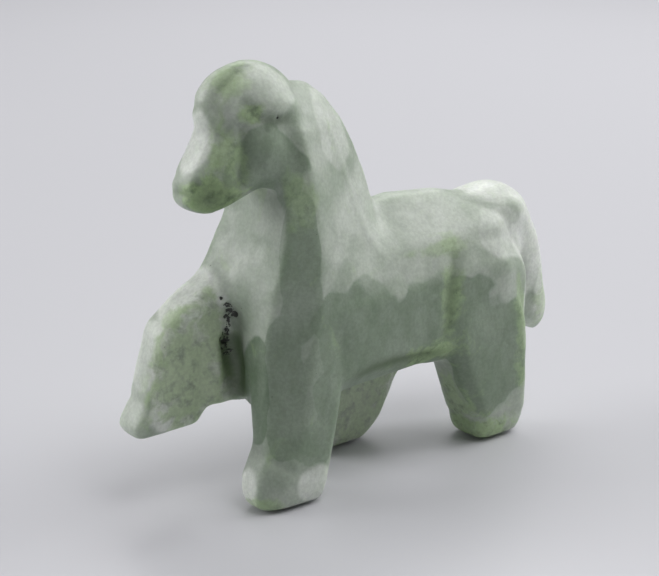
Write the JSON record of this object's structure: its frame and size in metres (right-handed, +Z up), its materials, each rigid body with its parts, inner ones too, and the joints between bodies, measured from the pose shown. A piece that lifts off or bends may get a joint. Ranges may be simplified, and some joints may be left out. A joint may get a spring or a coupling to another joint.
{
  "type": "horse figurine",
  "caption": "Small free-standing jade horse cut from one slab, bevelled flat planes, right foreleg raised, arched neck and hanging tail.",
  "frame": {"origin": "on the surface the horse stands on, under the middle of its bounding box", "axes": "+Z up, the horse faces -Y, its left side is +X; X is the thickness of the slab"},
  "size_m": [0.0156, 0.0596, 0.0498],
  "materials": {
    "jade": "hand-polished pale grey-green jade, cloudy and slightly translucent, with yellow-green patches and small black specks"
  },
  "bodies": {
    "root": {"jade_horse": "jade"}
  },
  "joints": []
}
